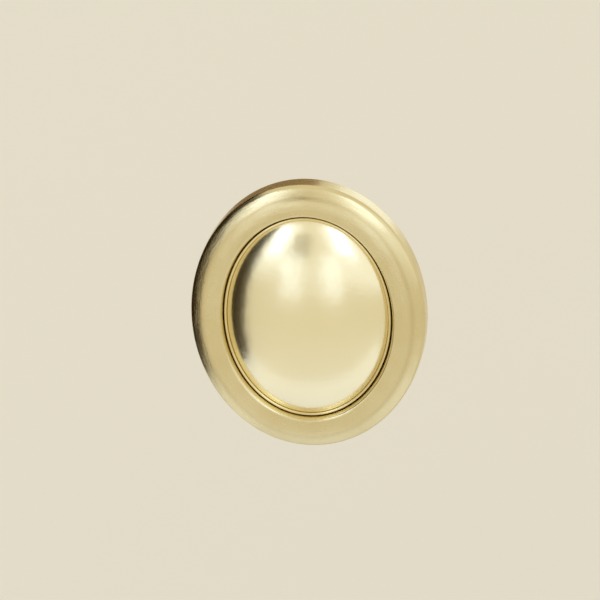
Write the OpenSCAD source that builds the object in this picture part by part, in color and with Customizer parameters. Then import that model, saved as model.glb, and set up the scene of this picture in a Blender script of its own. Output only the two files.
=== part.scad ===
// Oval pearl stud earring, in millimetres.
// The face looks along -Y and the post runs along +Y. +Z is up. The origin lies on the post's axis, in
// the plane of the frame's back edge.
// The oval is drawn with four arcs that meet at a tangent, so that every line of the moulding runs at
// a constant distance from the groove round the setting. Inside the modules x is the distance out
// from the groove and z the height above the back.

/* [Oval] */
// Half the height of the groove between frame and setting
groove_half_h = 21.4; // [20.6:0.1:22.4]
// Half the width of the groove between frame and setting
groove_half_w = 17.0; // [16.4:0.1:17.6]

/* [Frame] */
// Width of the moulding, from the groove to its outer wall
band_w = 6.75; // [6.5:0.05:7.2]
// Height of the groove's edge above the back
groove_z = 4.15; // [3.6:0.05:4.6]
// Slope of the narrow wall that rises out of the groove, in degrees
rise_deg = 80; // [76:1:84]
// Height of that wall's straight stretch
rise_h = 1.0; // [0.8:0.05:1.2]
// Radius of the rounded edge on top of the wall
edge_r = 0.4; // [0.3:0.05:0.5]
// Rise of the swell where it leaves that edge, in degrees
swell_rise_deg = 3; // [1:1:5]
// Radius of the inner swell's broad top
swell_r = 11.5; // [10:0.5:12.5]
// Fall of the inner swell where it meets the crease, in degrees
swell_fall_deg = 15; // [13:1:17]
// Fall of the outer roll where it leaves the crease, in degrees
roll_fall_deg = 21; // [19:1:23]
// Radius of the outer roll's broad top
roll_r = 14; // [12:0.5:16]
// Radius of the shoulder between the roll and the outer wall
shoulder_r = 1.2; // [1.2:0.05:1.4]
// Thickness of the casting's wall
wall = 1.0; // [0.8:0.05:1.0]
// Thickness of the ledge under the setting
ledge_h = 0.8; // [0.6:0.05:1]
// Width of the ledge inside the groove
ledge_w = 1.3; // [1.1:0.1:2]

/* [Setting] */
// Width of the groove between frame and setting
groove_w = 0.24; // [0.2:0.02:0.4]
// Thickness of the setting's floor
cup_floor = 0.6; // [0.5:0.05:0.8]
// Thickness of the lip round the pearl
lip_w = 0.55; // [0.5:0.05:0.7]
// Height of the lip's top above the groove's edge
lip_up = 0.3; // [0.1:0.05:0.5]

/* [Pearl] */
// Height of the dome above the groove's edge
dome_h = 4.5; // [4:0.1:6]

/* [Post] */
// Height of the post above the middle of the oval
post_up = 13; // [10:0.5:15]
// Diameter of the pin
pin_d = 0.9; // [0.8:0.05:1]
// Length of the pin behind the frame's back
pin_len = 10.5; // [9.5:0.5:12]
// Diameter of the pad
pad_d = 5.0; // [4:0.5:6]
// Thickness of the pad
pad_h = 0.7; // [0.4:0.1:0.75]

/* [Hidden] */
$fn = 128;

// Colours of the metal and of the pearl
gold = [0.86, 0.74, 0.46];
cream = [0.93, 0.88, 0.74];
// Gap between pieces that lie on each other
seat_gap = 0.05;
// Play round the pearl inside the lip
pearl_gap = 0.08;
// Degrees between two points on the moulding's small and broad arcs and on the lip's round top
arc_step = 6;
broad_step = 3;
lip_step = 18;
// Points round the meshed ovals
oval_points = 96;
// Rings from the dome's edge to its top, and how far up the quarter ellipse the last one lies
dome_rings = 12;
top_deg = 87;

// The oval: the end arcs' centres lie on the long axis and the side arcs' centres on the short one.
// Two arcs meet at a tangent where the line through both centres crosses them. Here that line runs
// 4 across to 3 up, so the centres and the middle are the corners of a triangle with sides 3, 4 and 5.
third = (groove_half_h - groove_half_w) / 2;
end_c = 3 * third;
side_c = 4 * third;
end_r = groove_half_h - end_c;
side_r = end_r + 5 * third;
join_deg = atan2(3, 4);

// Edge of the frame's inner wall and of the lip's outer wall, either side of the groove's line
frame_x = groove_w / 2;
lip_x = -groove_w / 2;

// Centres of the profile's arcs, as [x, z]: edge and swell meet at a tangent, the roll starts where
// the swell ends, at the crease, and the shoulder touches the roll from inside
edge_c = [frame_x + rise_h / tan(rise_deg) + edge_r * sin(rise_deg),
          groove_z + rise_h - edge_r * cos(rise_deg)];
swell_c = edge_c + (swell_r - edge_r) * [sin(swell_rise_deg), -cos(swell_rise_deg)];
crease = swell_c + swell_r * [sin(swell_fall_deg), cos(swell_fall_deg)];
roll_c = crease - roll_r * [sin(roll_fall_deg), cos(roll_fall_deg)];
shoulder_deg = asin((band_w - shoulder_r - roll_c[0]) / (roll_r - shoulder_r));
shoulder_c = roll_c + (roll_r - shoulder_r) * [sin(shoulder_deg), cos(shoulder_deg)];

// Undersides of setting and pearl, and the wall that the pearl stands in
cup_z = ledge_h + seat_gap;
pearl_z = cup_z + cup_floor + seat_gap;
lip_inner_x = lip_x - lip_w;

// Where two circles about p and q cross, on the side of greater height
function crossing(p, rp, q, rq) =
    let (d = norm(q - p), a = (d * d + rp * rp - rq * rq) / (2 * d),
         h = sqrt(rp * rp - a * a), u = (q - p) / d, side = [-u[1], u[0]],
         m = p + a * u, one = m + h * side, two = m - h * side)
    one[1] > two[1] ? one : two;

// Points on an arc about c, its directions counted in degrees from the z axis towards +x
function arc(c, r, from, to, step = arc_step) =
    let (n = max(1, ceil(abs(to - from) / step)))
    [for (i = [0:n]) let (a = from + (to - from) * i / n) c + r * [sin(a), cos(a)]];

// Direction of a point seen from c, in the same degrees
function heading(c, p) = atan2(p[0] - c[0], p[1] - c[1]);

// The front's outline from the crease's inner side over the roll and the shoulder to the edge at the
// back, with every arc and wall moved inwards by inset. The swell's arc starts at the direction from.
function over_front(inset, from) =
    let (swell = swell_r - inset, roll = roll_r - inset,
         fold = crossing(swell_c, swell, roll_c, roll))
    concat(arc(swell_c, swell, from, heading(swell_c, fold), broad_step),
           arc(roll_c, roll, heading(roll_c, fold) + broad_step, shoulder_deg, broad_step),
           arc(shoulder_c, shoulder_r - inset, shoulder_deg + arc_step, 90),
           [[band_w - inset, 0]]);

// The moulding's outside, from the ledge in the groove up the narrow wall and over its edge
outer_line = concat([[frame_x, ledge_h], [frame_x, groove_z]],
                    arc(edge_c, edge_r, -rise_deg, -swell_rise_deg - arc_step),
                    over_front(0, -swell_rise_deg));

// The casting's cavity: its inner wall stands straight and meets the swell's underside at a corner
cavity_x = frame_x + wall;
cavity_line = concat([[cavity_x, 0]],
                     over_front(wall, asin((cavity_x - swell_c[0]) / (swell_r - wall))));

function backwards(list) = [for (i = [len(list) - 1:-1:0]) list[i]];

// A point of the oval at a distance out from the groove's line, by the direction of its normal
function oval_point(out, deg) =
    let (half = deg % 180, side = deg < 180 ? 1 : -1,
         on_end = half > join_deg && half < 180 - join_deg,
         c = on_end ? [0, side * end_c] : [cos(deg) > 0 ? -side_c : side_c, 0])
    c + (out + (on_end ? end_r : side_r)) * [cos(deg), sin(deg)];

// Faces of a solid made of rings of n points each, from the lowest ring's flat face to the last one's
function ring_faces(rings, n) = concat(
    [[for (i = [0:n - 1]) i]],
    [for (k = [0:rings - 2], i = [0:n - 1])
        let (j = (i + 1) % n) [k * n + i, (k + 1) * n + i, (k + 1) * n + j, k * n + j]],
    [[for (i = [n - 1:-1:0]) (rings - 1) * n + i]]);

// Sets the earring's own axes: the face forwards, and the post's foot at the origin.
module in_place() {
    translate([0, 0, -post_up]) rotate([90, 0, 0]) children();
}

// Carries a profile, drawn in x and z from the groove's line, once round the oval: each arc is a full
// turn about its centre, kept between the two lines on which it meets its neighbours.
module round_oval() {
    for (side = [1, -1]) {
        kept_between([0, side * end_c], side * [4, 3], side * [-4, 3])
            rotate_extrude() translate([end_r, 0]) children();
        kept_between([-side * side_c, 0], side * [4, 3], side * [4, -3])
            rotate_extrude() translate([side_r, 0]) children();
    }
}

// What is built about the centre c, kept between the lines that leave c along a and along b
module kept_between(c, a, b) {
    // More than the far side of any arc, and more than the height of any profile
    reach = groove_half_h;
    translate(c) intersection() {
        children();
        translate([0, 0, -reach]) linear_extrude(2 * reach) polygon([[0, 0], reach * a, reach * b]);
    }
}

// One closed line: over the front, back through the cavity, and along the ledge under the setting
module frame_profile() {
    polygon(concat(outer_line, backwards(cavity_line), [[-ledge_w, 0], [-ledge_w, ledge_h]]));
}

module frame() {
    color(gold) in_place() round_oval() frame_profile();
}

// A flat oval pan: the wall goes up outside, over the lip's round top and down to the floor inside
module bezel_cup() {
    top_r = lip_w / 2;
    top_c = [lip_inner_x + top_r, groove_z + lip_up - top_r];
    profile = concat([[lip_x, cup_z]], arc(top_c, top_r, 90, -90, lip_step),
                     [[lip_inner_x, cup_z + cup_floor]]);
    rings = [for (p = profile, i = [0:oval_points - 1])
        let (q = oval_point(p[0], 360 * i / oval_points)) [q[0], q[1], p[1]]];
    color(gold) in_place()
        polyhedron(rings, ring_faces(len(profile), oval_points));
}

// A straight girdle in the setting, and a dome on it: each ring of the dome is the edge's oval, made
// smaller and raised as on a quarter of an ellipse
module pearl_cabochon() {
    edge = [for (i = [0:oval_points - 1]) oval_point(lip_inner_x - pearl_gap, 360 * i / oval_points)];
    base = [for (q = edge) [q[0], q[1], pearl_z]];
    rings = [for (k = [0:dome_rings - 1], q = edge)
        let (lift = top_deg * k / (dome_rings - 1))
        [q[0] * cos(lift), q[1] * cos(lift), groove_z + dome_h * sin(lift)]];
    color(cream) in_place()
        polyhedron(concat(base, rings), ring_faces(dome_rings + 1, oval_points));
}

module ear_post() {
    tip_r = pin_d / 2;
    pad_z = cup_z - seat_gap - pad_h;
    color(gold) rotate([90, 0, 0]) {
        translate([0, 0, pad_z]) cylinder(d = pad_d, h = pad_h);
        translate([0, 0, tip_r - pin_len]) cylinder(d = pin_d, h = pin_len - tip_r + pad_z + pad_h / 2);
        translate([0, 0, tip_r - pin_len]) sphere(r = tip_r);
    }
}

frame();
bezel_cup();
pearl_cabochon();
ear_post();
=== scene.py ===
# %% [markdown]
# # A pearl stud earring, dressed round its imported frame
# The earring is a big cream imitation pearl in a wide gold moulding. Its solids come packed from the
# CAD step, at their real size and place. This lesson gives them their looks: it rebuilds each piece
# as a fine smooth surface in the same place, gives it a finish made of nodes, and lights it softly.

# %% Load the frame
import math

import bpy
import numpy as np
from mathutils import Matrix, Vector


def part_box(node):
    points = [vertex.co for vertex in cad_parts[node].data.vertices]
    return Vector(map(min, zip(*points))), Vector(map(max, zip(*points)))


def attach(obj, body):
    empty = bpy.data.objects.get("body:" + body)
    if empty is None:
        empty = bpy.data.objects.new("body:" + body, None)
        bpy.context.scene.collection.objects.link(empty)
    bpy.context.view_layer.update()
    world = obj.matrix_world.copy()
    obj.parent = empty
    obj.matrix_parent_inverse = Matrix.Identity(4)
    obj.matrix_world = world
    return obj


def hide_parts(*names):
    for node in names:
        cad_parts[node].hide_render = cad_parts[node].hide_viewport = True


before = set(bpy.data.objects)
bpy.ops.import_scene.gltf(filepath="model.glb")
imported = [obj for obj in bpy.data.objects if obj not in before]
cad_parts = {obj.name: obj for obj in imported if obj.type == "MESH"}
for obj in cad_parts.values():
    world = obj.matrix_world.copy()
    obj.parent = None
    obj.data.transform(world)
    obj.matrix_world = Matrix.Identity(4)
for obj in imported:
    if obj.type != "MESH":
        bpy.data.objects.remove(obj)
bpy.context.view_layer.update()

# %% [markdown]
# ## The oval and its sizes
# Everything on the face runs round one oval, the dark groove between the frame and the setting. The
# frame's box gives where its middle lies and how far it reaches, and the moulding's width then gives
# the groove. Profiles are drawn in millimetres: out is the distance outwards from the groove, and
# height the distance forwards from the back edge.

# %% Sizes of the oval
MM = 0.001
band_w = 6.75          # from the groove to the outer wall
groove_w = 0.14        # clear width of the groove
lip_w = 0.55           # thickness of the setting's lip
lip_up = 0.3           # lip's top above the groove's edge
pearl_gap = 0.03       # play between lip and pearl

low, high = (np.array(corner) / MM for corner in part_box("frame"))
middle_up = (low[2] + high[2]) / 2
groove_half_w = (high[0] - low[0]) / 2 - band_w
groove_half_h = (high[2] - low[2]) / 2 - band_w
cup_back = -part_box("bezel_cup")[1].y / MM
lip_top = -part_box("bezel_cup")[0].y / MM
pearl_back = -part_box("pearl_cabochon")[1].y / MM
pearl_top = -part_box("pearl_cabochon")[0].y / MM
groove_z = lip_top - lip_up
print(f"groove {2 * groove_half_w:.2f} x {2 * groove_half_h:.2f} mm, its edge {groove_z:.2f} mm up")

# %% [markdown]
# ## Carrying a profile round the oval
# A cast moulding has the same section all the way round, so each piece is one line carried round the
# oval. Spinning a line would only give a circle, and a curve with a bevel turns sharp where the oval
# bends. Here each point is worked out from two numbers, where it lies round the oval and where it
# lies on the line, and whole arrays of them are made at once.

# %% Points and normals of the oval
fine_steps = 20000     # round the oval, where its length is measured


def lengths(line):
    """The distance along the line at each of its points."""
    return np.r_[0, np.cumsum(np.hypot(*np.diff(line, axis=0).T))]


def oval(count):
    """Places at equal distances round the groove's ellipse, and its length.

    A point is (w cos a, h sin a). The normal there is (h cos a, w sin a) made one long. The angle a
    comes from the length of the ellipse so far, so that no stretch gets more points than another.
    """
    fine = np.linspace(0, 2 * np.pi, fine_steps + 1)
    length = lengths(np.column_stack([groove_half_w * np.cos(fine), groove_half_h * np.sin(fine)]))
    a = np.interp(np.linspace(0, length[-1], count, endpoint=False), length, fine)
    points = np.column_stack([groove_half_w * np.cos(a), groove_half_h * np.sin(a)])
    normals = np.column_stack([groove_half_h * np.cos(a), groove_half_w * np.sin(a)])
    return points, normals / np.hypot(*normals.T)[:, None], length[-1]


print(f"the groove is {oval(1)[2]:.1f} mm long")


# %% A line carried round
def carried(line, count):
    """A grid of points: the profile line carried round the oval.

    The line has three columns, out, height and share. A point is share times the groove's point plus
    out times its normal, and height forwards. The share is 1 on a wall and runs to 0 on a flat that
    closes in the middle.
    """
    points, normals, _ = oval(count)
    flat = points[:, None] * line[None, :, 2, None] + normals[:, None] * line[None, :, 0, None]
    height = np.broadcast_to(line[None, :, 1], flat.shape[:2])
    return np.stack([flat[..., 0], -height, flat[..., 1] + middle_up], -1) * MM


def with_share(line):
    """The line with the column share added, which is 1 all along."""
    return np.column_stack([line, np.ones(len(line))])


def round_marks(line, count):
    """For each point of the grid, where it lies as (cos turn, sin turn, millimetres along the line)."""
    turn = np.linspace(0, 2 * np.pi, count, endpoint=False)[:, None]
    return np.stack(np.broadcast_arrays(np.cos(turn), np.sin(turn), lengths(line[:, :2])), -1)


side_line = with_share(np.array([[band_w, 0.0], [band_w, groove_z]]))
print("a line of 2 points, carried to 4 places, makes a grid of", carried(side_line, 4).shape)

# %% [markdown]
# ## Lines for profiles
# A profile is a chain of arcs and straight stretches. Real castings are tumbled and buffed, which
# rounds every corner a little. The same happens here when each point of the line is replaced by a
# weighted mean of its neighbours: corners turn into small fillets, and broad arcs stay as they are.

# %% Arcs and even spacing
arc_step = 3           # degrees between the points of a broad arc
small_step = 15        # and of a small rounding
same_point = 1e-9      # two points of a line nearer than this are one


def arc(centre, radius, start, stop, step=arc_step):
    """Points centre + radius (sin a, cos a), with a in degrees from straight forwards, outwards."""
    count = max(2, math.ceil(abs(stop - start) / step) + 1)
    a = np.radians(np.linspace(start, stop, count))
    return np.asarray(centre) + radius * np.column_stack([np.sin(a), np.cos(a)])


def evenly(line, step):
    """The same line with points at equal steps."""
    line = line[np.r_[True, np.diff(lengths(line)) > same_point]]
    at = lengths(line)
    new = np.linspace(0, at[-1], max(2, round(at[-1] / step) + 1))
    return np.column_stack([np.interp(new, at, line[:, k]) for k in (0, 1)])


def spaced(line, spacing):
    """The line again, with its points at distances that the array spacing gives at each of them."""
    want = np.r_[0, np.cumsum(np.diff(lengths(line)) / spacing[1:])]
    new = np.linspace(0, want[-1], round(want[-1]) + 1)
    return np.column_stack([np.interp(new, want, line[:, k]) for k in (0, 1)])


quarter = arc([0, 0], 1, 0, 90)
print(f"a quarter circle of {len(quarter)} points and radius 1 is {lengths(quarter)[-1]:.3f} long")


# %% Softening
def softened(line, reach, step, closed):
    """Each point becomes the mean of its neighbours, weighted by exp(-distance² / 2 reach²).

    A closed line wraps round. An open one is continued past its ends by turning it about them, so the
    ends stay where they are.
    """
    side = int(4 * reach / step)
    weights = np.exp(-0.5 * (np.arange(-side, side + 1) * step / reach) ** 2)
    weights /= weights.sum()
    if closed:
        wide = np.r_[line[-side:], line, line[:side]]
    else:
        before, after = 2 * line[:1] - line[side:0:-1], 2 * line[-1:] - line[-2:-side - 2:-1]
        wide = np.r_[before, line, after]
    return np.column_stack([np.convolve(wide[:, k], weights, "valid") for k in (0, 1)])


trial_reach, trial_step, corner = 0.2, 0.02, (2, 0)
trial_line = evenly(np.array([[0, 0], corner, [2, 2]]), trial_step)
trial_line = softened(trial_line, trial_reach, trial_step, closed=False)
cut = np.hypot(*(trial_line - corner).T).min()
print(f"softened over {trial_reach} mm, a right corner loses {cut:.2f} mm")

# %% [markdown]
# ## From a grid to a mesh
# A grid of points becomes a mesh when each four neighbours get a face. The grid closes round the oval,
# and its other direction either closes too, as on the frame's hollow section, or ends in a point in
# the middle of the front and of the back. If the faces turn out to look inwards, their order is
# reversed: the sum of the small pyramids from the origin to the faces, the volume, tells.

# %% Faces and volume
def face_rows(index):
    """Quads between the rows of an index grid that closes round its first direction."""
    nxt = np.roll(index, -1, axis=0)
    quads = np.stack([index[:, :-1], nxt[:, :-1], nxt[:, 1:], index[:, 1:]], -1)
    return quads.reshape(-1, 4)


def volume(points, faces):
    """The signed volume inside faces, as the sum of a · (b × c) / 6 over their triangles."""
    total = 0.0
    for k in range(1, faces.shape[1] - 1):
        a, b, c = points[faces[:, 0]], points[faces[:, k]], points[faces[:, k + 1]]
        total += np.einsum("ij,ij->", a, np.cross(b, c)) / 6
    return total


print("a ring of 6 rows of 4 points has", len(face_rows(np.arange(24).reshape(6, 4))), "faces")


# %% Piece from a grid
def closed_in_middle(index):
    """Which points of an index grid are kept, the new index grid between the poles, and the caps.

    The first and the last column each lie on one point, a pole in the middle of a flat, which is kept
    once. A cap is the fan of triangles between a pole and the column next to it.
    """
    count = len(index)
    keep = np.r_[index[0, 0], index[:, 1:-1].ravel(), index[0, -1]]
    place = np.zeros(index.size, int)
    place[keep] = np.arange(len(keep))
    index = place[index]
    first, last = index[:, 1], index[:, -2]
    caps = [np.column_stack([np.full(count, 0), np.roll(first, -1), first]),
            np.column_stack([np.full(count, len(keep) - 1), last, np.roll(last, -1)])]
    return keep, index[:, 1:-1], caps


def piece(name, grid, marks, closed):
    """A smooth mesh object over a grid, with the arrays in marks as attributes of its points."""
    total = grid.shape[0] * grid.shape[1]
    index = np.arange(total).reshape(grid.shape[:2])
    keep, caps = index.ravel(), []
    if closed:
        index = np.column_stack([index, index[:, 0]])
    else:
        keep, index, caps = closed_in_middle(index)
    points = grid.reshape(-1, 3)[keep]
    quads = face_rows(index)
    inside = volume(points, quads) + sum(volume(points, cap) for cap in caps)
    faces = quads.tolist() + [row for cap in caps for row in cap.tolist()]
    if inside < 0:
        faces = [row[::-1] for row in faces]
    mesh = bpy.data.meshes.new(name)
    mesh.from_pydata(points.tolist(), [], faces)
    mesh.polygons.foreach_set("use_smooth", np.ones(len(faces), bool))
    for mark, values in marks.items():
        kind, field = ("FLOAT_VECTOR", "vector") if values.ndim == 3 else ("FLOAT", "value")
        kept = values.reshape(total, -1)[keep]
        layer = mesh.attributes.new(mark, kind, "POINT")
        layer.data.foreach_set(field, kept.astype(np.float32).ravel())
    mesh.update()
    made = bpy.data.objects.new(name, mesh)
    bpy.context.scene.collection.objects.link(made)
    print(f"{name}: {len(points)} points, {sum(len(face) - 2 for face in faces)} triangles, "
          f"{abs(inside) / MM ** 3:.0f} mm3")
    return made


# %% [markdown]
# ## The frame's section
# A narrow steep wall rises out of the groove. From its rounded edge the moulding swells broadly, folds
# softly at a crease and rolls outwards to a tight shoulder, and then its outer wall drops to the back.
# Behind, the casting is hollow, with a wall 1 mm thick, and a ledge reaches in under the setting. The
# section is one closed line, softened as tumbling and buffing soften the casting.

# %% Arcs of the frame's section
rise_deg, rise_h = 70, 1.0             # slope and height of the narrow wall
edge_r, swell_rise_deg = 0.4, 3        # its rounded edge, up to where the swell leaves it
swell_r, swell_fall_deg = 11.5, 15     # the broad swell, and its fall at the crease
roll_r, roll_fall_deg = 14, 21         # the outer roll, and its fall from the crease
shoulder_r = 1.2                       # the shoulder between roll and outer wall


def pointing(deg):
    """The direction (out, height) that lies deg degrees outwards from straight forwards."""
    return np.array([math.sin(math.radians(deg)), math.cos(math.radians(deg))])


frame_out = groove_w / 2
rise_top = np.array([frame_out + rise_h / math.tan(math.radians(rise_deg)), groove_z + rise_h])
edge_c = rise_top - edge_r * pointing(-rise_deg)
swell_c = edge_c - (swell_r - edge_r) * pointing(-swell_rise_deg)
crease = swell_c + swell_r * pointing(swell_fall_deg)
roll_c = crease - roll_r * pointing(roll_fall_deg)
shoulder_deg = math.degrees(math.asin((band_w - shoulder_r - roll_c[0]) / (roll_r - shoulder_r)))
shoulder_c = roll_c + (roll_r - shoulder_r) * pointing(shoulder_deg)
print(f"crease {crease[0]:.2f} mm out, shoulder from {shoulder_deg:.1f} degrees")

# %% Line of the frame's section
wall, ledge_h, ledge_w = 1.0, 0.8, 1.3
cavity_trim = 0.3                      # degrees that the cavity's arcs stop short of the crease
buffing = 0.2                          # how far buffing rounds an edge
section_step = 0.04                    # between points while the line is softened
front_spacing, back_spacing = 0.11, 0.36   # between its final points, in front and behind
fine_past = 0.5                        # how far the front's spacing runs on round the back edge


def over_front(inset, start, trim):
    """Swell, roll, shoulder and outer wall, moved inwards by inset, the crease's arcs cut by trim."""
    return np.vstack([
        arc(swell_c, swell_r - inset, start, swell_fall_deg - trim),
        arc(roll_c, roll_r - inset, roll_fall_deg + trim, shoulder_deg),
        arc(shoulder_c, shoulder_r - inset, shoulder_deg + arc_step, 90),
        [[band_w - inset, 0]]])


front = np.vstack([[[frame_out, ledge_h], [frame_out, groove_z]],
                   arc(edge_c, edge_r, -rise_deg, -swell_rise_deg - arc_step),
                   over_front(0, -swell_rise_deg, 0)])
cavity_x = frame_out + wall
cavity_start = math.degrees(math.asin((cavity_x - swell_c[0]) / (swell_r - wall)))
cavity = np.vstack([[[cavity_x, 0]], over_front(wall, cavity_start, cavity_trim)])
section = np.vstack([front, cavity[::-1], [[-ledge_w, 0], [-ledge_w, ledge_h], front[0]]])
section = evenly(section, section_step)[:-1]
section = softened(section, buffing, section_step, closed=True)
front_end = lengths(front)[-1]
on_front = lengths(section) < front_end + fine_past
section = spaced(np.vstack([section, section[:1]]),
                 np.r_[np.where(on_front, front_spacing, back_spacing), back_spacing])[:-1]
section = with_share(section)
print(f"section of {len(section)} points, its front {front_end:.1f} mm long")

# %% [markdown]
# ## The frame
# The section is carried round the oval. Four attributes go with it for the finish: where a point
# lies round the oval and along the section, for the brushed grain, how deep it lies in the groove,
# where the plate is painted darker as shade, how near it lies to the crease, where painted shade
# falls too, and whether it faces the hollow back, which is never polished.

# %% Frame piece
ring_count = 480
recess_from, recess_depth = 0.1, 0.8   # above the groove's edge, and from there down to full depth
recess_reach = 0.6                     # outwards from the groove
crease_reach = 0.5                     # either side of the crease
dull_before, dull_after = 0.6, 0.4     # polish fades from before to behind the back edge


def ramp(values, start, stop):
    """0 up to start, 1 from stop, and a smooth step between them."""
    t = np.clip((values - start) / (stop - start), 0, 1)
    return t * t * (3 - 2 * t)


grid = carried(section, ring_count)
outwards, height = section[:, 0], section[:, 1]
along = lengths(section[:, :2])
# Painted shade down in the groove, where little light reaches.
groove_shade = ramp(groove_z + recess_from - height, 0, recess_depth) * (outwards < frame_out + recess_reach)
# Painted shade along the crease, strongest on it and fading to either side.
crease_shade_mask = np.exp(-((outwards - crease[0]) / crease_reach) ** 2)
behind = ramp(along, front_end - dull_before, front_end + dull_after)
marks = {"around": round_marks(section, ring_count),
         "shade_in_recess": np.broadcast_to(groove_shade * (along < front_end), grid.shape[:2]),
         "fold": np.broadcast_to(crease_shade_mask * (along < front_end), grid.shape[:2]),
         "behind": np.broadcast_to(behind, grid.shape[:2])}
frame_piece = piece("gold_frame", grid, marks, closed=True)

# %% [markdown]
# ## The setting
# The pearl sits in a shallow pan of its own, pressed from sheet and polished. Only its rounded lip
# shows from the front, as a bright line round the pearl. Its line starts in the middle of the back,
# runs out to the wall, up over the lip and down inside, and ends in the middle of the floor. On the
# two flats the share runs between 0 and 1, so that they close without a fold.

# %% Line of the setting
cup_floor = 0.6
lip_r = lip_w / 2
lip_out = -groove_w / 2
lip_in = lip_out - lip_w
lip_step = 6                           # degrees between points on the lip's round top
wall_flat = 0.4                        # stretch of each flat that belongs to the wall's line
edge_round = 0.05                      # how far pressing rounds the pan's edges
setting_step = 0.03                    # between points while the line is softened
lip_spacing, pan_spacing, lip_reach = 0.05, 0.25, 1.0
flat_rings = 8


def over_flat(end, rings):
    """The line from the middle of the oval out over a flat to just before end, with the shares."""
    shares = np.linspace(0, 1, rings + 2)[:-1]
    return np.column_stack([end[0] * shares, np.full(len(shares), end[1]), shares])


pan = np.vstack([[[lip_out - wall_flat, cup_back], [lip_out, cup_back]],
                 arc([lip_in + lip_r, lip_top - lip_r], lip_r, 90, -90, lip_step),
                 [[lip_in, cup_back + cup_floor], [lip_in - wall_flat, cup_back + cup_floor]]])
pan = softened(evenly(pan, setting_step), edge_round, setting_step, closed=False)
pan = spaced(pan, np.where(pan[:, 1] > lip_top - lip_reach, lip_spacing, pan_spacing))
pan = np.vstack([over_flat(pan[0], flat_rings), with_share(pan), over_flat(pan[-1], flat_rings)[::-1]])
print(f"line of {len(pan)} points, {lengths(pan[:, :2])[-1]:.1f} mm long")

# %% Setting piece
lit_until, shaded_from = 0.4, 1.1     # below the lip's top
grid = carried(pan, ring_count)
# Painted shade: the pan is darkened down its walls below the lip.
shade_below_lip = ramp(lip_top - pan[:, 1], lit_until, shaded_from)
marks = {"around": round_marks(pan, ring_count),
         "shade_in_recess": np.broadcast_to(shade_below_lip, grid.shape[:2])}
setting_piece = piece("gold_setting", grid, marks, closed=False)

# %% [markdown]
# ## The pearl
# The pearl is a cabochon: a flat back, a short straight girdle in the setting, and a dome. The dome's
# line is part of an ellipse carried round. A quarter of one would stand upright at its edge and mirror
# the lip there as a second gold ring, so the line starts a little way up the quarter, where it already
# leans inwards. A point is cos(lift) times the edge's point, raised by sin(lift) times a height, and
# both are made to fit the edge and the top. Even steps of lift put many rings near the edge.

# %% Line of the pearl
pearl_out = lip_in - pearl_gap
dome_below_lip = 0.4                   # where the dome starts, below the lip's top
dome_edge = lip_top - dome_below_lip
first_lift = math.radians(24)
dome_rings, girdle_rings, back_rings = 130, 6, 6
bevel = 0.25                           # rounding between back and girdle

lift = np.linspace(first_lift, np.pi / 2, dome_rings)
dome_share = np.cos(lift) / math.cos(first_lift)
dome_rise = (np.sin(lift) - math.sin(first_lift)) / (1 - math.sin(first_lift))
dome_height = dome_edge + (pearl_top - dome_edge) * dome_rise
dome = np.column_stack([pearl_out * dome_share, dome_height, dome_share])
bevel_arc = arc([pearl_out - bevel, pearl_back + bevel], bevel, 180, 90, small_step)
girdle_height = np.linspace(pearl_back + bevel, dome_edge, girdle_rings + 2)[1:-1]
girdle = np.column_stack([np.full(girdle_rings, pearl_out), girdle_height])
pearl_line = np.vstack([over_flat((pearl_out - bevel, pearl_back), back_rings),
                        with_share(bevel_arc), with_share(girdle), dome])
print(f"dome {pearl_top - dome_edge:.2f} mm high")

# %% Pearl piece
pearl_ring_count = 400
grid = carried(pearl_line, pearl_ring_count)
marks = {"around": round_marks(pearl_line, pearl_ring_count)}
pearl_piece = piece("pearl_dome", grid, marks, closed=False)

# %% [markdown]
# ## The post
# Behind, a round pad is glued to the back of the setting, and a straight pin stands on it, soldered
# with a small fillet. It is turned: a line of radius and depth goes once round the pin's axis. The
# pin ends round, so that it slips in easily.

# %% Post piece
pin_r, pad_h = 0.45, 0.7
pad_round, fillet_r = 0.12, 0.35
after_fillet, before_tip = 0.5, 0.3    # where the pin's even rings start and end
pin_rings, post_count, tip_step = 20, 64, 10
post_low, post_high = (np.array(corner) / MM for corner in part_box("ear_post"))
pad_r = post_high[0]
pad_front, pin_end = post_low[1], post_high[1]
pad_back = pad_front + pad_h
pin_depth = np.linspace(pad_back + fillet_r + after_fillet, pin_end - pin_r - before_tip, pin_rings)
turned_line = np.vstack([
    [[0, pad_front]],
    arc([pad_r - pad_round, pad_front + pad_round], pad_round, 180, 90, small_step),
    arc([pad_r - pad_round, pad_back - pad_round], pad_round, 90, 0, small_step),
    arc([pin_r + fillet_r, pad_back + fillet_r], fillet_r, 180, 270, small_step),
    np.column_stack([np.full(pin_rings, pin_r), pin_depth]),
    arc([0, pin_end - pin_r], pin_r, 90, 0, tip_step)])
turn = np.linspace(0, 2 * np.pi, post_count, endpoint=False)[:, None]
radius, depth = turned_line[:, 0], turned_line[:, 1]
grid = np.stack(np.broadcast_arrays(np.cos(turn) * radius, depth, np.sin(turn) * radius), -1) * MM
marks = {"around": round_marks(turned_line, post_count)}
post_piece = piece("gold_post", grid, marks, closed=False)

# %% [markdown]
# ## Node groups
# Two effects come back in several finishes, so each is a node group with named inputs and outputs.
# Brushed grain is noise that is stretched round the oval: it reads the attribute made above, runs
# slowly round and fast across. Uneven tone is a soft cloud in the object's own coordinates, as thin
# plating has. Both give plain values, and each material decides what to do with them.

# %% Helpers for node trees
FLOAT, VECTOR = "NodeSocketFloat", "NodeSocketVector"


def add(tree, kind, **values):
    """A node of a kind, with values set on its properties or on its named inputs."""
    made = tree.nodes.new(kind)
    for name, value in values.items():
        if name in made.inputs:
            made.inputs[name].default_value = value
        else:
            setattr(made, name, value)
    return made


def fed(tree, made, *values):
    """The node, with its first inputs in turn linked to an output or set to a number."""
    for socket, value in zip(made.inputs, values):
        if isinstance(value, (int, float)):
            socket.default_value = value
        else:
            tree.links.new(value, socket)
    return made


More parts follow.
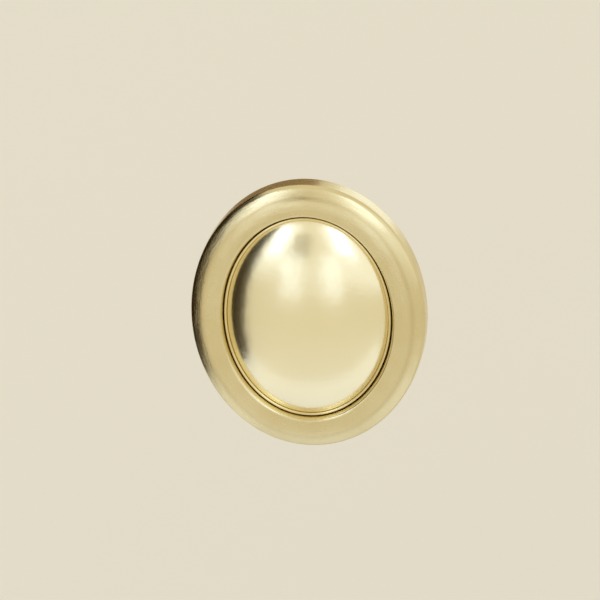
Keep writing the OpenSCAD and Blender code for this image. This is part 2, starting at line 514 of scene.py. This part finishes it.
def ranged(tree, source, low_to, high_to, low_from=0.0, high_from=1.0):
    """Maps a value from one range to another."""
    return fed(tree, add(tree, "ShaderNodeMapRange"),
               source, low_from, high_from, low_to, high_to).outputs["Result"]


def new_group(name, inputs, outputs):
    """An empty shader group with sockets given as name: (kind, value)."""
    tree = bpy.data.node_groups.new(name, "ShaderNodeTree")
    for way, sockets in (("INPUT", inputs), ("OUTPUT", outputs)):
        for socket, (kind, value) in sockets.items():
            made = tree.interface.new_socket(name=socket, in_out=way, socket_type=kind)
            if value is not None:
                made.default_value = value
    return tree, tree.nodes.new("NodeGroupInput"), tree.nodes.new("NodeGroupOutput")


# %% Brushed grain group
grain, enter, leave = new_group(
    "brushed_grain",
    {"Around": (VECTOR, None), "Length": (FLOAT, 5.0), "Fineness": (FLOAT, 5.0)},
    {"Height": (FLOAT, None), "Scratch": (FLOAT, None)})
scratch_from, scratch_full = 0.62, 0.75    # of the noise, whose peaks are the scratches
stretch_by = fed(grain, add(grain, "ShaderNodeCombineXYZ"),
                 enter.outputs["Length"], enter.outputs["Length"], enter.outputs["Fineness"])
stretch = fed(grain, add(grain, "ShaderNodeVectorMath", operation="MULTIPLY"),
              enter.outputs["Around"], stretch_by.outputs[0])
streaks = add(grain, "ShaderNodeTexNoise", Scale=1.0, Detail=3.0, Roughness=0.6)
grain.links.new(stretch.outputs[0], streaks.inputs["Vector"])
scratch = ranged(grain, streaks.outputs["Fac"], 0.0, 1.0, scratch_from, scratch_full)
fed(grain, leave, streaks.outputs["Fac"], scratch)
print("group", grain.name, [socket.name for socket in leave.inputs if socket.name])

# %% Uneven tone group
tone, enter, leave = new_group(
    "uneven_tone",
    {"Position": (VECTOR, None), "Patch": (FLOAT, 150.0), "Contrast": (FLOAT, 1.0)},
    {"Tone": (FLOAT, None)})
noise_middle = 0.5
cloud = add(tone, "ShaderNodeTexNoise", Detail=3.0, Roughness=0.55)
tone.links.new(enter.outputs["Position"], cloud.inputs["Vector"])
tone.links.new(enter.outputs["Patch"], cloud.inputs["Scale"])
centred = fed(tone, add(tone, "ShaderNodeMath", operation="SUBTRACT"), cloud.outputs["Fac"], noise_middle)
scaled = fed(tone, add(tone, "ShaderNodeMath", operation="MULTIPLY_ADD", use_clamp=True),
             centred.outputs[0], enter.outputs["Contrast"], noise_middle)
fed(tone, leave, scaled.outputs[0])
print("group", tone.name, [socket.name for socket in leave.inputs if socket.name])

# %% [markdown]
# ## Parts of a material
# A metal gets its colour as a chain of mixes, each with a mask that says where the next colour lies,
# and its grain as bumps laid on one another. These helpers keep such a chain to one line a step.

# %% Helpers for materials
noise_span = (0.3, 0.7)    # a noise lies almost everywhere between these


def new_material(name):
    """A material with a Principled shader. Returns it with its tree and the shader."""
    material = bpy.data.materials.new(name)
    material.use_nodes = True
    tree = material.node_tree
    return material, tree, tree.nodes["Principled BSDF"]


def placed(tree, group, source, **values):
    """A group put into a material, its first input linked to source, with its other input values."""
    made = add(tree, "ShaderNodeGroup", node_tree=group)
    for name, value in values.items():
        made.inputs[name].default_value = value
    return fed(tree, made, source)


def object_place(tree):
    """The output that gives a point's place in the object's own coordinates."""
    return add(tree, "ShaderNodeTexCoord").outputs["Object"]


def read(tree, name, output="Fac"):
    """The output that reads an attribute of the mesh."""
    return add(tree, "ShaderNodeAttribute", attribute_name=name).outputs[output]


def mixed(tree, factor, first, second):
    """A colour mix. factor is an output, and each colour is an output or a plain colour."""
    made = add(tree, "ShaderNodeMix", data_type="RGBA")
    tree.links.new(factor, made.inputs["Factor"])
    for socket, colour in (("A", first), ("B", second)):
        target = next(s for s in made.inputs if s.name == socket and s.type == "RGBA")
        if isinstance(colour, tuple):
            target.default_value = (*colour, 1)
        else:
            tree.links.new(colour, target)
    return next(s for s in made.outputs if s.type == "RGBA")


def raised(tree, height, distance, strength, before=None):
    """A Bump node over a height. before is the output of a bump under this one."""
    made = add(tree, "ShaderNodeBump", Distance=distance, Strength=strength)
    tree.links.new(height, made.inputs["Height"])
    if before is not None:
        tree.links.new(before, made.inputs["Normal"])
    return made.outputs["Normal"]


print("groups to place", [group.name for group in bpy.data.node_groups])

# %% [markdown]
# ## Satin gold
# The frame is cast zinc alloy with pale gold plate, brushed round and lightly buffed. The brushing
# makes it satin: reflections are blurred, and very fine streaks follow the moulding. Down in the
# groove and along the crease the plate is painted darker, as painted shade, and the hollow back
# keeps its dull cast skin. A plain metal with one roughness would look like plastic foil.

# %% Satin gold colours
satin_dark, satin_light = (0.73, 0.615, 0.335), (0.80, 0.70, 0.42)
satin_scratch, scratch_share = (0.86, 0.77, 0.52), 0.3    # a colour, and how much of it shows
# Painted shade: the plate along the crease is darker.
satin_fold, fold_share = (0.56, 0.44, 0.21), 0.35
# Painted shade: the plate down in the groove is darker.
satin_recess_shade = (0.42, 0.30, 0.11)
cast_skin, skin_share = (0.62, 0.47, 0.25), 0.8

satin_gold, tree, shader = new_material("satin_gold")
where, around = object_place(tree), read(tree, "around", "Vector")
shade_in_recess, back_side, fold = (read(tree, name) for name in ("shade_in_recess", "behind", "fold"))
brushed = placed(tree, grain, around, Length=5.0, Fineness=1.5)
fine = placed(tree, grain, around, Length=14.0, Fineness=6.0)
patches = placed(tree, tone, where, Patch=110.0, Contrast=2.0)
skin = placed(tree, tone, where, Patch=2600.0, Contrast=1.6)
plate = mixed(tree, patches.outputs["Tone"], satin_dark, satin_light)
plate = mixed(tree, ranged(tree, fine.outputs["Scratch"], 0.0, scratch_share), plate, satin_scratch)
plate = mixed(tree, ranged(tree, fold, 0.0, fold_share), plate, satin_fold)
plate = mixed(tree, shade_in_recess, plate, satin_recess_shade)
plate = mixed(tree, ranged(tree, back_side, 0.0, skin_share), plate, cast_skin)
tree.links.new(plate, shader.inputs["Base Color"])
shader.inputs["Metallic"].default_value = 1.0
print(satin_gold.name, "reads", [n.attribute_name for n in tree.nodes if n.type == "ATTRIBUTE"])

# %% Satin gold grain
satin_low, satin_high, cast_rougher = 0.19, 0.30, 0.22
brush_depth, scratch_depth, cast_depth = 0.04 * MM, 0.01 * MM, 0.1 * MM

rough = ranged(tree, brushed.outputs["Height"], satin_low, satin_high, *noise_span)
rough = fed(tree, add(tree, "ShaderNodeMath", operation="MULTIPLY_ADD"), back_side, cast_rougher, rough)
tree.links.new(rough.outputs[0], shader.inputs["Roughness"])
cast = fed(tree, add(tree, "ShaderNodeMath", operation="MULTIPLY"), skin.outputs["Tone"], back_side)
relief = raised(tree, brushed.outputs["Height"], brush_depth, strength=0.7)
relief = raised(tree, fine.outputs["Height"], scratch_depth, strength=0.8, before=relief)
relief = raised(tree, cast.outputs[0], cast_depth, strength=0.8, before=relief)
tree.links.new(relief, shader.inputs["Normal"])
print(satin_gold.name, len(tree.nodes), "nodes")

# %% [markdown]
# ## Polished gold
# The setting's lip is yellower and brighter than the frame, because it was polished and plated
# apart. Down its walls the metal is painted dark, as painted shade.

# %% Polished gold material
polished_dark, polished_light = (0.80, 0.665, 0.35), (0.84, 0.71, 0.41)
# Painted shade down the pan's walls.
polished_recess_shade, recess_shade_share = (0.44, 0.32, 0.12), 0.9
polished_low, polished_high = 0.12, 0.22
polish_depth = 0.008 * MM

polished_gold, tree, shader = new_material("polished_gold")
fine = placed(tree, grain, read(tree, "around", "Vector"), Length=14.0, Fineness=9.0)
patches = placed(tree, tone, object_place(tree), Patch=260.0, Contrast=2.0)
plate = mixed(tree, patches.outputs["Tone"], polished_dark, polished_light)
plate = mixed(tree, ranged(tree, read(tree, "shade_in_recess"), 0.0, recess_shade_share), plate, polished_recess_shade)
tree.links.new(plate, shader.inputs["Base Color"])
shader.inputs["Metallic"].default_value = 1.0
rough = ranged(tree, fine.outputs["Height"], polished_low, polished_high, *noise_span)
tree.links.new(rough, shader.inputs["Roughness"])
relief = raised(tree, fine.outputs["Height"], polish_depth, strength=0.5)
tree.links.new(relief, shader.inputs["Normal"])
print(polished_gold.name, len(tree.nodes), "nodes")

# %% [markdown]
# ## Pearl
# An imitation pearl is a resin core under many coats of lacquer full of tiny flakes, which lie flat
# and mirror like soft metal, under a clear gloss. So the shader is metallic with a broad highlight,
# and its coat gives the second, sharp one. At a slant the flakes turn faintly rosy and green. Faint
# waves from dipping bend the reflections a little.

# %% Pearl material
cream_dark, cream_light = (0.93, 0.835, 0.53), (0.94, 0.865, 0.59)
lustre_rosy, lustre_green, lustre_share = (0.96, 0.84, 0.68), (0.91, 0.87, 0.62), 0.55
lacquer_low, lacquer_high = 0.19, 0.25
wave_depth, speck_depth = 0.3 * MM, 0.004 * MM

pearl_finish, tree, shader = new_material("pearl")
where = object_place(tree)
clouds = placed(tree, tone, where, Patch=70.0, Contrast=1.6)
sheen = placed(tree, tone, where, Patch=45.0, Contrast=2.2)
waves = placed(tree, tone, where, Patch=120.0, Contrast=1.0)
specks = placed(tree, tone, where, Patch=2400.0, Contrast=1.0)
slant = add(tree, "ShaderNodeLayerWeight", Blend=0.35).outputs["Facing"]
cream = mixed(tree, clouds.outputs["Tone"], cream_dark, cream_light)
lustre = mixed(tree, sheen.outputs["Tone"], lustre_rosy, lustre_green)
cream = mixed(tree, ranged(tree, slant, 0.0, lustre_share), cream, lustre)
tree.links.new(cream, shader.inputs["Base Color"])
rough = ranged(tree, specks.outputs["Tone"], lacquer_low, lacquer_high)
tree.links.new(rough, shader.inputs["Roughness"])
shader.inputs["Metallic"].default_value = 1.0
shader.inputs["Coat Weight"].default_value = 0.7
shader.inputs["Coat Roughness"].default_value = 0.04
relief = raised(tree, waves.outputs["Tone"], wave_depth, strength=0.35)
relief = raised(tree, specks.outputs["Tone"], speck_depth, strength=0.3, before=relief)
tree.links.new(relief, shader.inputs["Normal"])
print(pearl_finish.name, len(tree.nodes), "nodes")

# %% [markdown]
# ## Post metal
# The post is a bought finding with plain bright gold plate, a little greyer than the frame and with
# faint marks from the wire drawing.

# %% Post metal material
post_dark, post_light = (0.78, 0.64, 0.38), (0.84, 0.72, 0.46)
drawn_low, drawn_high = 0.2, 0.34
drawn_depth = 0.01 * MM

post_metal, tree, shader = new_material("post_metal")
drawn = placed(tree, grain, read(tree, "around", "Vector"), Length=5.0, Fineness=2.0)
patches = placed(tree, tone, object_place(tree), Patch=600.0, Contrast=2.0)
plate = mixed(tree, patches.outputs["Tone"], post_dark, post_light)
tree.links.new(plate, shader.inputs["Base Color"])
shader.inputs["Metallic"].default_value = 1.0
rough = ranged(tree, drawn.outputs["Height"], drawn_low, drawn_high, *noise_span)
tree.links.new(rough, shader.inputs["Roughness"])
relief = raised(tree, drawn.outputs["Height"], drawn_depth, strength=0.5)
tree.links.new(relief, shader.inputs["Normal"])
print(post_metal.name, len(tree.nodes), "nodes")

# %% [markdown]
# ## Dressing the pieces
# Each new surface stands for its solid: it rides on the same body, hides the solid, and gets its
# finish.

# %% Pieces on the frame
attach(frame_piece, "root")
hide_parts("frame")
frame_piece.data.materials.append(satin_gold)

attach(setting_piece, "root")
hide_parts("bezel_cup")
setting_piece.data.materials.append(polished_gold)

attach(pearl_piece, "root")
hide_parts("pearl_cabochon")
pearl_piece.data.materials.append(pearl_finish)

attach(post_piece, "root")
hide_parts("ear_post")
post_piece.data.materials.append(post_metal)
print("dressed", [made.name for made in (frame_piece, setting_piece, pearl_piece, post_piece)])

# %% [markdown]
# ## Camera
# The camera looks from the right and from above, as in the photo, from far away with a long lens, as
# the even outline of the oval there asks for. It aims beside the groove, so that the groove's middle
# in the picture lies off the picture's own middle by as much as in the photo.

# %% Directions and aiming
def towards(azimuth, elevation):
    """The direction at an azimuth from the front, to the right, and an elevation, in degrees."""
    a, e = math.radians(azimuth), math.radians(elevation)
    return np.array([math.sin(a) * math.cos(e), -math.cos(a) * math.cos(e), math.sin(e)])


def view_axes(back):
    """The directions to the right, upwards and backwards of what looks against back, its top up."""
    side = np.cross([0, 0, 1], back)
    side /= np.linalg.norm(side)
    return side, np.cross(back, side), back


def aimed(made, place, target):
    """Puts a light or camera at place and turns its -Z axis to the target, its Y axis up."""
    back = (place - target) / np.linalg.norm(place - target)
    matrix = np.eye(4)
    matrix[:3, :3] = np.column_stack(view_axes(back))
    matrix[:3, 3] = place
    made.matrix_world = Matrix(matrix.tolist())


groove_middle = np.array([0, -groove_z, middle_up]) * MM
print("middle of the groove", groove_middle.round(4))

# %% [markdown]
# A camera that aims at the groove's middle sees the near half of the groove larger than the far half,
# so the middle of its picture is worked out first. A point's pixels are the scale times its place
# across the view, times how much nearer it lies.

# %% Camera
picture = 600                     # pixels of the square picture
scale_px = 5.0 / MM               # pixels to a metre at the groove
camera_far = 2.0
camera_azimuth, camera_elevation = 9.1, 22.3
groove_px = (307.65, 316.48)      # middle of the groove in the photo
round_points = 400
sensor = 36
clip_end = 20

side, above, back_to_camera = view_axes(towards(camera_azimuth, camera_elevation))
groove_line = np.zeros((round_points, 3))
groove_line[:, [0, 2]] = oval(round_points)[0] * MM
nearer = camera_far / (camera_far - groove_line @ back_to_camera)
across = scale_px * nearer * (groove_line @ side)
upwards = scale_px * nearer * (groove_line @ above)
seen_right, seen_up = (across.max() + across.min()) / 2, (upwards.max() + upwards.min()) / 2
shift_right = picture / 2 - groove_px[0] + seen_right
shift_down = picture / 2 - groove_px[1] - seen_up
aim = groove_middle + (shift_right * side - shift_down * above) / scale_px
lens = bpy.data.cameras.new("camera")
lens.sensor_width = sensor
lens.lens = sensor * camera_far / (picture / scale_px)
lens.clip_end = clip_end
camera = bpy.data.objects.new("camera", lens)
bpy.context.scene.collection.objects.link(camera)
aimed(camera, aim + camera_far * back_to_camera, aim)
bpy.context.scene.camera = camera
print(f"lens {lens.lens:.0f} mm, camera at {[round(v, 3) for v in camera.matrix_world.translation]}")

# %% [markdown]
# ## Light
# Metal and pearl show what is round them, so the room is half of the finish. Two soft boxes stand left
# and right of the camera, each a wide faint panel with a brighter core, and an open pale room fills
# the rest. A wide faint box and two small ones at eye level put streaks on the middle of the pearl,
# one behind at the right draws the frame's outer edge, and one below lights its underside. Their
# light is bluish, as daylight is beside the warm room.

# %% Soft boxes
daylight = (0.50, 0.66, 1.0)


def soft_box(name, azimuth, elevation, distance, size, strength):
    """A rectangular light that faces the earring, with its direction in degrees and size in metres.

    Strength is its brightness as seen in a mirror, and its power is that times pi times its area.
    """
    data = bpy.data.lights.new(name, "AREA")
    data.color = daylight
    data.shape = "RECTANGLE"
    data.size, data.size_y = size
    data.energy = strength * math.pi * size[0] * size[1]
    light = bpy.data.objects.new(name, data)
    bpy.context.scene.collection.objects.link(light)
    aimed(light, groove_middle + distance * towards(azimuth, elevation), groove_middle)
    light.visible_camera = False


soft_box("left_panel", -35, 20, 0.75, (0.42, 0.62), 0.33)
soft_box("left_core", -34, 24, 0.70, (0.18, 0.36), 1.45)
soft_box("right_panel", 45, 24, 0.80, (1.10, 0.90), 0.30)
soft_box("right_core", 27, 30, 0.70, (0.24, 0.38), 1.30)
soft_box("eye_level", -6, -3, 0.72, (0.50, 0.18), 0.14)
soft_box("low_left", -17, -1, 0.70, (0.14, 0.28), 0.60)
soft_box("low_right", 9, 0, 0.70, (0.15, 0.28), 0.60)
soft_box("right_rim", 158, 20, 0.70, (0.36, 0.36), 0.80)
soft_box("below", -5, -75, 0.38, (0.90, 0.36), 0.30)

# %% [markdown]
# ## Room
# The room is one pale warm colour, and its floor is plain and pale. Dark cards take the place of the
# darker things that metal and pearl mirror in the photo. The one at the left gives the moulding's left
# flank and the pearl's left edge the dark line that draws their shapes, and the one behind browns the
# upper left edge. A grey one in front parts the two bright patches on the pearl. The camera doesn't
# see them.

# %% Room and floor
room_colour, room_strength = (0.90, 0.85, 0.72), 0.96
floor_z, floor_reach = -0.45, 8.0

world = bpy.data.worlds.new("pale_room")
world.use_nodes = True
world.node_tree.nodes["Background"].inputs["Color"].default_value = (*room_colour, 1)
world.node_tree.nodes["Background"].inputs["Strength"].default_value = room_strength
bpy.context.scene.world = world


def card(name, corners, colour, roughness=0.8):
    """A flat four-cornered surface of the studio with a plain finish."""
    mesh = bpy.data.meshes.new(name)
    mesh.from_pydata(corners, [], [(0, 1, 2, 3)])
    made = bpy.data.objects.new(name, mesh)
    bpy.context.scene.collection.objects.link(made)
    material, _, shader = new_material(name)
    shader.inputs["Base Color"].default_value = (*colour, 1)
    shader.inputs["Roughness"].default_value = roughness
    shader.inputs["Specular IOR Level"].default_value = 0.0
    mesh.materials.append(material)
    return made


floor = card("floor", [(-floor_reach, -floor_reach, floor_z), (floor_reach, -floor_reach, floor_z),
                       (floor_reach, floor_reach, floor_z), (-floor_reach, floor_reach, floor_z)],
             (0.90, 0.88, 0.83), 0.9)
print("stage", floor.name, f"{-floor_z} m down")


# %% Dark cards
def upright(left, right, depth, bottom, top):
    """The corners of an upright rectangle across the view. Depth counts backwards."""
    return [(left, depth, bottom), (right, depth, bottom), (right, depth, top), (left, depth, top)]


# The left card stands along the view, and its front edge leans forwards towards the top.
left_x, left_bottom, left_top = -0.30, -0.28, 0.30
front_bottom, front_top, left_back = -0.19, -0.30, 0.45
left_dark = card("left_dark", [(left_x, front_bottom, left_bottom), (left_x, left_back, left_bottom),
                               (left_x, left_back, left_top), (left_x, front_top, left_top)],
                 (0.035, 0.021, 0.004))
back_dark = card("back_dark", upright(-0.25, -0.02, 0.30, -0.05, 0.42), (0.42, 0.30, 0.17))
front_grey = card("front_grey", upright(-0.32, -0.10, -0.95, 0.12, 0.50), (0.60, 0.57, 0.52))
for dark in (left_dark, back_dark, front_grey):
    dark.visible_camera = False
print("cards", left_dark.name, back_dark.name, front_grey.name)

# %% [markdown]
# ## Last steps
# The plain view transform keeps the colours as they are.

# %% Finish
bpy.context.scene.view_settings.view_transform = "Standard"
